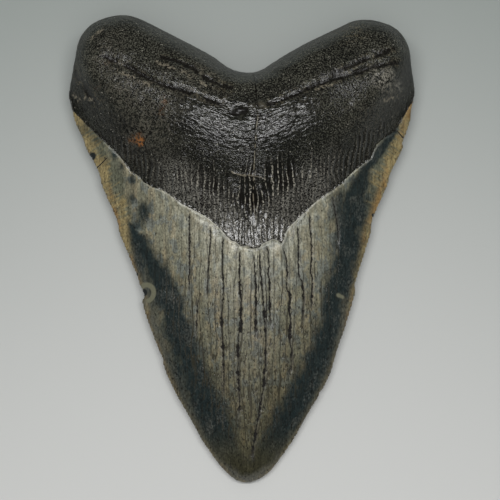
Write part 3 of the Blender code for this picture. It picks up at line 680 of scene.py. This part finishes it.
def noise_at(tree, places, spacing, detail=2.0, shift=0.0):
    """Noise whose lumps are `spacing` millimetres apart in x, y and z; `shift` gives other lumps."""
    scale = [1 / s for s in spacing]
    scaled = node(tree, "Mapping", Vector=places, Scale=scale, Location=(shift, shift, 0)).outputs[0]
    return node(tree, "TexNoise", Vector=scaled, Scale=1.0, Detail=detail, Roughness=0.6).outputs["Fac"]


def between(tree, value, low, high, to_low=0.0, to_high=1.0):
    """Rises smoothly from to_low to to_high while the value goes from low to high."""
    made = node(tree, "MapRange", {"interpolation_type": "SMOOTHSTEP"}, Value=value)
    for socket, number in zip(("From Min", "From Max", "To Min", "To Max"), (low, high, to_low, to_high)):
        made.inputs[socket].default_value = number
    return made.outputs[0]


def maths(tree, operation, a, b=0.0):
    """One step of arithmetic on one or two numbers."""
    return node(tree, "Math", {"operation": operation}, _0=a, _1=b).outputs[0]


def times(tree, *values):
    """The values multiplied together."""
    total = values[0]
    for value in values[1:]:
        total = maths(tree, "MULTIPLY", total, value)
    return total


def plus(tree, *values):
    """The sum of the values."""
    total = values[0]
    for value in values[1:]:
        total = maths(tree, "ADD", total, value)
    return total


def darkened(tree, colour, shade):
    """A colour multiplied by a grey of the strength `shade`."""
    grey = node(tree, "CombineColor", _0=shade, _1=shade, _2=shade).outputs[0]
    return blend(tree, 1.0, colour, grey, "MULTIPLY")


def mix(tree, share, a, b):
    """Number a where share is 0 and b where it is 1."""
    return node(tree, "Mix", {"data_type": "FLOAT"}, _0=share, _2=a, _3=b).outputs[0]


def blend(tree, share, a, b, how="MIX"):
    """Colour a where share is 0 and b where it is 1."""
    made = node(tree, "Mix", {"data_type": "RGBA", "blend_type": how}, _0=share)
    for socket, colour in ((6, a), (7, b)):
        if isinstance(colour, bpy.types.NodeSocket):
            tree.links.new(colour, made.inputs[socket])
        else:
            made.inputs[socket].default_value = (*colour, 1.0)
    return made.outputs[2]


def line_at(tree, side, half_width):
    """1 on a line, from the signed distance to it."""
    return between(tree, maths(tree, "ABSOLUTE", side), half_width, half_width * 0.35)


def enamel_ground(tree, places, y, mottle):
    """Streaks of sage, tan and slate, paler by the neck and darker towards the tip; the paleness is partly
    painted sheen and the darkening partly painted shade.
    """
    broad_streaks = noise_at(tree, places, (3.4, 40, 9), 2)
    streaks = noise_at(tree, places, (0.9, 26, 7), 3, 5.0)
    warm = noise_at(tree, places, (3.5, 6.5, 5), 3, 95.0)
    slate = noise_at(tree, places, (3.0, 4.5, 4), 3, 3.0)
    tan = plus(tree, between(tree, streaks, 0.50, 0.66, 0.0, 0.4),
               between(tree, broad_streaks, 0.48, 0.64, 0.0, 0.4), between(tree, warm, 0.50, 0.62, 0.0, 0.5))
    colour = blend(tree, tan, SAGE_ENAMEL, TAN_ENAMEL)
    colour = blend(tree, between(tree, slate, 0.50, 0.60, 0.0, 0.9), colour, SLATE_ENAMEL)
    # paler by the neck: partly paler enamel, partly painted sheen
    pale_and_sheen_by_neck = times(tree, between(tree, mask(tree, "enamel"), 20.0, 1.0),
                    between(tree, mask(tree, "rim"), 9.0, 24.0), between(tree, mottle, 0.40, 0.66, 0.2, 0.60))
    colour = blend(tree, pale_and_sheen_by_neck, colour, PALE_ENAMEL_AND_SHEEN)
    # darker towards the tip: partly the tip's own darker colour, partly painted shade
    return blend(tree, between(tree, y, 84.0, 2.0), colour, TIP_COLOUR_AND_SHADE, "MULTIPLY")


def enamel_margins(tree, places, ground, grains, mottle):
    """The ground colour with its brown rim, tan edges and blue-black bands."""
    x, y, z = node(tree, "SeparateXYZ", Vector=places).outputs
    rim = mask(tree, "rim")
    clouds = noise_at(tree, places, (5, 11, 9), 3, 3.0)
    blotches = noise_at(tree, places, (4.0, 6.5, 5.0), 3, 12.0)
    brown = between(tree, plus(tree, rim, times(tree, blotches, 3.0)), 7.0, 3.5)
    colour = blend(tree, times(tree, brown, 0.8), ground, BROWN_RIM)

    along_rim = plus(tree, y, times(tree, maths(tree, "ABSOLUTE", x), 0.4))
    across_rim = node(tree, "CombineXYZ", X=rim, Y=along_rim, Z=z).outputs[0]
    hatch = noise_at(tree, across_rim, (5.0, 0.8, 9), 3, 23.0)
    inner = between(tree, rim, 1.0, 8.0, 0.0, 0.35)
    olive = between(tree, plus(tree, hatch, clouds, inner), 0.92, 1.25)
    edge_colour = blend(tree, olive, TAN_EDGE, OLIVE_EDGE)
    orange = times(tree, between(tree, rim, 3.4, 0.8), between(tree, clouds, 0.45, 0.60), 0.8)
    edge_colour = blend(tree, orange, edge_colour, ORANGE_EDGE)
    tan = plus(tree, mask(tree, "tan"), times(tree, blotches, 2.0), -1.0)
    colour = blend(tree, between(tree, tan, -0.5, 0.7), colour, edge_colour)

    cloudy = between(tree, plus(tree, blotches, times(tree, grains, 0.6)), 0.78, 1.10)
    band_colour = blend(tree, cloudy, BLUE_BLACK, SLATE_BLACK)
    band_colour = blend(tree, between(tree, y, 18.0, 4.0), band_colour, TIP_BROWN)
    band = plus(tree, mask(tree, "margin"), times(tree, blotches, 2.4), times(tree, mottle, 0.9), -1.60)
    return blend(tree, between(tree, band, -0.75, 0.50, 0.0, 0.98), colour, band_colour)


def hairlines(tree, places):
    """1 on fine lines that run down the crown side by side, here and there, with dashes among them."""
    x, y, _ = node(tree, "SeparateXYZ", Vector=places).outputs
    wander = times(tree, noise_at(tree, places, (7, 45, 9), 2, 31.0), 5.5)
    wave = maths(tree, "COSINE", times(tree, plus(tree, x, wander), 2 * math.pi / HAIRLINE_PITCH))
    present = between(tree, noise_at(tree, places, (1.4, 7.0, 3), 3, 9.0), 0.36, 0.50)
    lines = times(tree, between(tree, wave, 0.84, 0.95), present)
    low_down = between(tree, y, 66.0, 26.0)
    dashes = plus(tree, noise_at(tree, places, (0.5, 2.6, 2), 1, 31.0), times(tree, low_down, -0.07))
    dashes = between(tree, dashes, 0.37, 0.30)
    away_from_rim = between(tree, mask(tree, "rim"), 3.0, 11.0)
    return times(tree, maths(tree, "MAXIMUM", dashes, lines), away_from_rim,
                 between(tree, y, 80.0, 52.0, 0.30, 0.90))


def crown_crack_marks(tree, places):
    """(1 on the crown's open cracks, 1 close beside them)."""
    beads = noise_at(tree, places, (0.6, 0.7, 1), 2, 41.0)
    width = times(tree, mask(tree, "crack_width"), between(tree, beads, 0.32, 0.68, 0.5, 1.5))
    jitter = times(tree, plus(tree, noise_at(tree, places, (0.9, 1.3, 1.5), 2, 47.0), -0.5), 0.9)
    off = maths(tree, "ABSOLUTE", plus(tree, mask(tree, "crack_side"), jitter))
    crack = times(tree, between(tree, maths(tree, "DIVIDE", off, width), 1.4, 0.7), mask(tree, "crack_open"))
    edge_crack = line_at(tree, mask(tree, "edge_crack_side"), 0.24)
    edge_crack = times(tree, edge_crack, mask(tree, "edge_crack_near"))
    beside = times(tree, between(tree, off, 0.8, 0.15), mask(tree, "crack_open"))
    return maths(tree, "MAXIMUM", crack, edge_crack), beside


def enamel_look(tree, places):
    """(colour, roughness, height in millimetres) of the crown's enamel."""
    y = node(tree, "SeparateXYZ", Vector=places).outputs[1]
    fine_streaks = noise_at(tree, places, (0.45, 12, 4), 2, 7.0)
    mottle = noise_at(tree, places, (1.2, 3.5, 2), 3, 17.0)
    grains = noise_at(tree, places, (0.5, 0.7, 0.6), 2, 50.0)
    colour = enamel_ground(tree, places, y, mottle)
    colour = enamel_margins(tree, places, colour, grains, mottle)
    shade = times(tree, between(tree, fine_streaks, 0.30, 0.70, 0.88, 1.10),
                  between(tree, mottle, 0.30, 0.70, 0.78, 1.22),
                  between(tree, grains, 0.30, 0.70, 0.70, 1.30))
    colour = darkened(tree, colour, shade)

    specks = noise_at(tree, places, (0.5, 1.0, 0.8), 1, 20.0)
    specks = plus(tree, specks, times(tree, between(tree, y, 66.0, 26.0), -0.05))
    colour = blend(tree, times(tree, between(tree, specks, 0.36, 0.29), 0.75), colour, CRACK_BLACK)
    hairs = hairlines(tree, places)
    colour = blend(tree, hairs, colour, HAIRLINE_BROWN)
    ragged = noise_at(tree, places, (1.0, 1.0, 1.0), 2, 44.0)
    # the lip's pale line: partly lighter enamel at the edge, partly a painted highlight
    lip = between(tree, plus(tree, mask(tree, "enamel"), times(tree, ragged, 0.8)), 0.75, 0.40)
    colour = blend(tree, times(tree, lip, mask(tree, "lip"), 0.75), colour, LIP_CREAM_HIGHLIGHT)

    cracks, beside = crown_crack_marks(tree, places)
    colour = blend(tree, times(tree, beside, 0.45), colour, HAIRLINE_BROWN)
    colour = blend(tree, cracks, colour, CRACK_BLACK)
    for chip, low, high, chip_colour in (
        ("chip_arc", 0.45, 0.8, CHIP_OLIVE),
        ("pale_chip", 0.35, 0.75, CHIP_OLIVE),
        ("chip", 0.35, 0.6, CHIP_BLACK),
    ):
        colour = blend(tree, between(tree, mask(tree, chip), low, high), colour, chip_colour)

    dull = maths(tree, "MAXIMUM", cracks, times(tree, beside, 0.675))
    roughness = plus(tree, 0.22, times(tree, fine_streaks, 0.14), times(tree, dull, 0.65))
    height = plus(tree, times(tree, fine_streaks, 0.05), times(tree, cracks, -0.14),
                  times(tree, hairs, -0.06), times(tree, grains, 0.06))
    return colour, roughness, height


def root_skin(tree, places, plain, shaded, grains, pores, clouds):
    """Near-black leather with grey speckles, grit and patches of dust, with painted shade, glints, sheen and
    a highlight laid into its colour.
    """
    valley, enamel = mask(tree, "valley"), mask(tree, "enamel")
    from_middle = maths(tree, "ABSOLUTE", node(tree, "SeparateXYZ", Vector=places).outputs[0])
    colour = blend(tree, between(tree, clouds, 0.35, 0.65), ROOT_BLACK, ROOT_BROWN)
    # beside the ledge on both sides, where the colour carries painted shade
    shade_by_side_ledge = times(tree, between(tree, enamel, -13.0, -7.0), between(tree, from_middle, 20.0, 28.0))
    # fewer grey speckles on the slope below the crest, in the valley and beside the ledge's sides: painted
    # shade
    speckle = times(tree, between(tree, grains, 0.46, 0.66), between(tree, clouds, 0.35, 0.60, 0.70, 1.15),
                    plus(tree, 0.45, times(tree, plain, 0.55)), between(tree, shaded, 0.0, 1.0, 1.0, 0.50),
                    between(tree, shade_by_side_ledge, 0.0, 1.0, 1.0, 0.35),
                    between(tree, valley, 0.0, 0.8, 1.0, 0.25))
    colour = blend(tree, speckle, colour, ROOT_GREY)
    dusty = times(tree, mask(tree, "dust"), between(tree, pores, 0.48, 0.62),
                  between(tree, grains, 0.40, 0.55), 0.55)
    colour = blend(tree, dusty, colour, DUST_TAN)
    # sparse bright specks: grit, lightened to serve as painted glints
    grit = between(tree, noise_at(tree, places, (0.7, 0.7, 0.7), 1, 80.0), 0.71, 0.76)
    colour = blend(tree, times(tree, grit, 0.9), colour, GRIT_GLINT_GREY)
    # grey by the ledge in the middle: painted sheen for the light reflected off the ridges' sides
    sheen_by_ledge = times(tree, between(tree, enamel, -13.0, -5.0), between(tree, grains, 0.40, 0.62),
                     between(tree, from_middle, 32.0, 19.0), between(tree, clouds, 0.30, 0.55, 0.5, 1.0))
    colour = blend(tree, sheen_by_ledge, colour, LEATHER_SHEEN_GREY)
    patch = times(tree, mask(tree, "dust_patch"), between(tree, pores, 0.40, 0.60),
                  between(tree, grains, 0.36, 0.56))
    colour = blend(tree, patch, colour, DUST_GREY)
    # the pale flats on the right lobe, with a painted highlight
    pale_highlight_patch = times(tree, mask(tree, "pale_highlight_patch"), between(tree, pores, 0.38, 0.60),
                       between(tree, grains, 0.34, 0.60))
    return blend(tree, pale_highlight_patch, colour, GRIT_GLINT_GREY)


def neck_ridges(tree, places, skin, wave, grains):
    """The skin with the neck's ridges worn grey and tan along their tops, and black slots between, painted
    shade that widens across the valley.
    """
    neck, valley = mask(tree, "neck"), mask(tree, "valley")
    broken = noise_at(tree, places, (0.5, 0.9, 0.8), 3, 88.0)
    worn = times(tree, between(tree, wave, 0.58, 0.97), between(tree, broken, 0.42, 0.56), neck,
                 between(tree, grains, 0.38, 0.58), plus(tree, 0.35, times(tree, valley, 0.65)))
    colour = blend(tree, worn, skin, RIDGE_TAN)
    strong = between(tree, mask(tree, "ridge_strength"), 0.2, 0.8)
    # black slots between the ridges, widest in the valley: painted shade
    low = plus(tree, wave, times(tree, valley, -0.8), broken, -0.5)
    slots = times(tree, between(tree, low, -0.1, -0.6), strong, neck,
                  plus(tree, 0.5, times(tree, valley, 0.5)))
    return blend(tree, times(tree, slots, 0.95), colour, CRACK_BLACK)


def root_marks(tree, places, skin, grains, pores, seam):
    """The skin with its rust, black furrows, pale dusty lines, scar, seam and hollows."""
    rusty = between(tree, noise_at(tree, places, (0.9, 0.9, 0.9), 2, 84.0), 0.36, 0.60)
    rusty = between(tree, times(tree, mask(tree, "rust"), rusty), 0.05, 0.85)
    colour = blend(tree, rusty, skin, RUST_ORANGE)
    furrow = between(tree, mask(tree, "furrow"), 0.12, 0.50)
    colour = blend(tree, times(tree, furrow, 0.9), colour, CRACK_BLACK)
    dusty_line = times(tree, between(tree, mask(tree, "dusty_line"), 0.25, 0.8),
                       between(tree, pores, 0.42, 0.58), between(tree, grains, 0.38, 0.54), 0.85)
    scar = between(tree, plus(tree, mask(tree, "scar"), times(tree, pores, 0.8)), 0.95, 1.25, 0.0, 0.7)
    scar = times(tree, scar, between(tree, grains, 0.34, 0.50))
    pale = maths(tree, "MAXIMUM", dusty_line, scar)
    pale = maths(tree, "MAXIMUM", pale, times(tree, mask(tree, "nodule"), 0.4))
    colour = blend(tree, pale, colour, SEAM_TAN)
    y = node(tree, "SeparateXYZ", Vector=places).outputs[1]
    seen = between(tree, noise_at(tree, places, (0.8, 1.6, 1), 1, 86.0), 0.36, 0.50)
    seam_colour = blend(tree, between(tree, y, 110.0, 107.0), CRACK_BLACK, SEAM_TAN)
    colour = blend(tree, times(tree, seam, seen, 0.9), colour, seam_colour)
    return blend(tree, between(tree, mask(tree, "hollow"), 0.2, 0.8), colour, CRACK_BLACK)


def root_look(tree, places):
    """(colour, roughness, height in millimetres) of the root and the neck."""
    x, _, z = node(tree, "SeparateXYZ", Vector=places).outputs
    neck, brow, steep, enamel = (mask(tree, name) for name in ("neck", "brow", "steep", "enamel"))
    past_crest = mask(tree, "past_crest")
    along_crest = node(tree, "CombineXYZ", X=x, Y=past_crest, Z=z).outputs[0]
    grains = noise_at(tree, places, (0.44, 0.44, 0.44), 2, 60.0)
    pores = noise_at(tree, places, (1.1, 1.1, 1.1), 2, 62.0)
    ripples = noise_at(tree, along_crest, (2.2, 0.85, 2.2), 1, 64.0)
    ridges = noise_at(tree, places, (0.5, 2.4, 1.5), 1, 66.0)
    clouds = noise_at(tree, places, (10, 8, 9), 3, 72.0)
    plain = maths(tree, "SUBTRACT", 1.0, maths(tree, "MAXIMUM", neck, brow))
    # the slope below the crest, where the colour carries painted shade
    below_crest = between(tree, past_crest, -2.0, -6.0)
    shaded = times(tree, below_crest, between(tree, maths(tree, "ABSOLUTE", x), 36.0, 22.0))
    wave = maths(tree, "COSINE", times(tree, mask(tree, "ridge_turns"), 2 * math.pi))
    seam = times(tree, line_at(tree, mask(tree, "root_crack_side"), 0.22), mask(tree, "root_crack_open"))

    colour = root_skin(tree, places, plain, shaded, grains, pores, clouds)
    colour = neck_ridges(tree, places, colour, wave, grains)
    colour = root_marks(tree, places, colour, grains, pores, seam)

    flank = times(tree, between(tree, mask(tree, "furrow"), 0.03, 0.3), between(tree, pores, 0.45, 0.58))
    roughness = plus(tree, 0.12, times(tree, pores, 0.08), times(tree, mask(tree, "hollow"), 0.2),
                     times(tree, steep, 0.25), times(tree, brow, 0.04), times(tree, flank, 0.12))
    rough_skin = plus(tree, times(tree, plain, 0.08), 0.05, times(tree, steep, 0.30),
                      times(tree, shaded, between(tree, enamel, -15.0, -21.0), 0.10))
    height = plus(tree, times(tree, grains, rough_skin), times(tree, pores, plain, 0.05),
                  times(tree, ripples, brow, 0.50), times(tree, ridges, neck, 0.22),
                  times(tree, wave, neck, 0.05), times(tree, seam, -0.12))
    return colour, roughness, height


def fossil_material():
    """Enamel and root side by side, parted along the ledge."""
    made = bpy.data.materials.new("fossil")
    made.use_nodes = True
    tree = made.node_tree
    shader = tree.nodes["Principled BSDF"]
    object_places = node(tree, "TexCoord").outputs["Object"]
    places = node(tree, "Mapping", Vector=object_places, Scale=(1 / MM, 1 / MM, 1 / MM),
                  Location=[-t for t in TIP]).outputs[0]
    ragged = noise_at(tree, places, (0.9, 0.9, 0.9), 2, 90.0)
    ledge = plus(tree, mask(tree, "enamel"), times(tree, ragged, 0.5), -0.25)
    on_enamel = between(tree, ledge, -0.22, -0.02)
    enamel_colour, enamel_roughness, enamel_height = enamel_look(tree, places)
    root_colour, root_roughness, root_height = root_look(tree, places)
    colour = blend(tree, on_enamel, root_colour, enamel_colour)
    roughness = mix(tree, on_enamel, root_roughness, enamel_roughness)
    height = mix(tree, on_enamel, root_height, enamel_height)
    bump = node(tree, "Bump", Height=height, Distance=MM, Strength=1.0)
    shader.inputs["Specular IOR Level"].default_value = FOSSIL_SHINE
    tree.links.new(colour, shader.inputs["Base Color"])
    tree.links.new(roughness, shader.inputs["Roughness"])
    tree.links.new(bump.outputs[0], shader.inputs["Normal"])
    return made


tooth.data.materials.append(fossil_material())

# ---- Table, lights and camera ------------------------------------------------------------------------
# the paper's near and far colours; the change between them is painted light falloff
PAPER_NEAR = (0.630, 0.633, 0.618)
PAPER_FAR = (0.238, 0.270, 0.253)
PAPER_ROUGHNESS = 0.7
FLOOR_SIZE = 6.0
FLOOR_GAP = 0.0002
ROOM_LIGHT = (0.95, 1.0, 0.97, 1)
ROOM_STRENGTH = 0.045


def paper_with_painted_falloff():
    """Paper coloured darker from near to far, and a little to both sides: painted light falloff."""
    made = bpy.data.materials.new("paper_with_painted_falloff")
    made.use_nodes = True
    tree = made.node_tree
    across, along, _ = node(tree, "SeparateXYZ", Vector=node(tree, "TexCoord").outputs["Object"]).outputs
    far = between(tree, plus(tree, along, times(tree, across, across, 2.5)), -0.12, 0.17)
    shader = tree.nodes["Principled BSDF"]
    tree.links.new(blend(tree, far, PAPER_NEAR, PAPER_FAR), shader.inputs["Base Color"])
    shader.inputs["Roughness"].default_value = PAPER_ROUGHNESS
    return made


bpy.ops.mesh.primitive_plane_add(size=FLOOR_SIZE, location=(0, 0, -FLOOR_GAP))
floor = bpy.context.object
floor.name = "floor"
floor.data.materials.append(paper_with_painted_falloff())

world = bpy.data.worlds.new("room")
world.use_nodes = True
world.node_tree.nodes["Background"].inputs["Color"].default_value = ROOM_LIGHT
world.node_tree.nodes["Background"].inputs["Strength"].default_value = ROOM_STRENGTH
bpy.context.scene.world = world


def area_light(name, at, size, power, mirrored=True):
    """A soft light that points at the tooth; an unmirrored one gives no glints."""
    data = bpy.data.lights.new(name, "AREA")
    data.shape = "RECTANGLE"
    data.size, data.size_y = size
    data.energy = power
    light = bpy.data.objects.new(name, data)
    light.visible_glossy = mirrored
    light.location = at
    light.rotation_euler = (-Vector(at)).to_track_quat("-Z", "Y").to_euler()
    bpy.context.scene.collection.objects.link(light)


area_light("strip", at=(0.0, 0.07, 0.80), size=(1.05, 0.12), power=4.6)
area_light("near_fill", at=(0.0, -0.40, 0.78), size=(1.2, 0.7), power=3.0, mirrored=False)
area_light("far_fill", at=(0.0, 0.60, 0.70), size=(1.2, 0.7), power=1.2, mirrored=False)

TARGET = Vector((0.0026, -0.0023, 0.0078))
ELEVATION = math.radians(80)
DISTANCE = 0.410
LENS = 95.1
SENSOR_WIDTH = 36
camera = bpy.data.objects.new("camera", bpy.data.cameras.new("camera"))
camera.data.lens = LENS
camera.data.sensor_width = SENSOR_WIDTH
camera.location = TARGET + DISTANCE * Vector((0, -math.cos(ELEVATION), math.sin(ELEVATION)))
camera.rotation_euler = (TARGET - camera.location).to_track_quat("-Z", "Y").to_euler()
bpy.context.scene.collection.objects.link(camera)
bpy.context.scene.camera = camera
bpy.context.scene.view_settings.view_transform = "Standard"
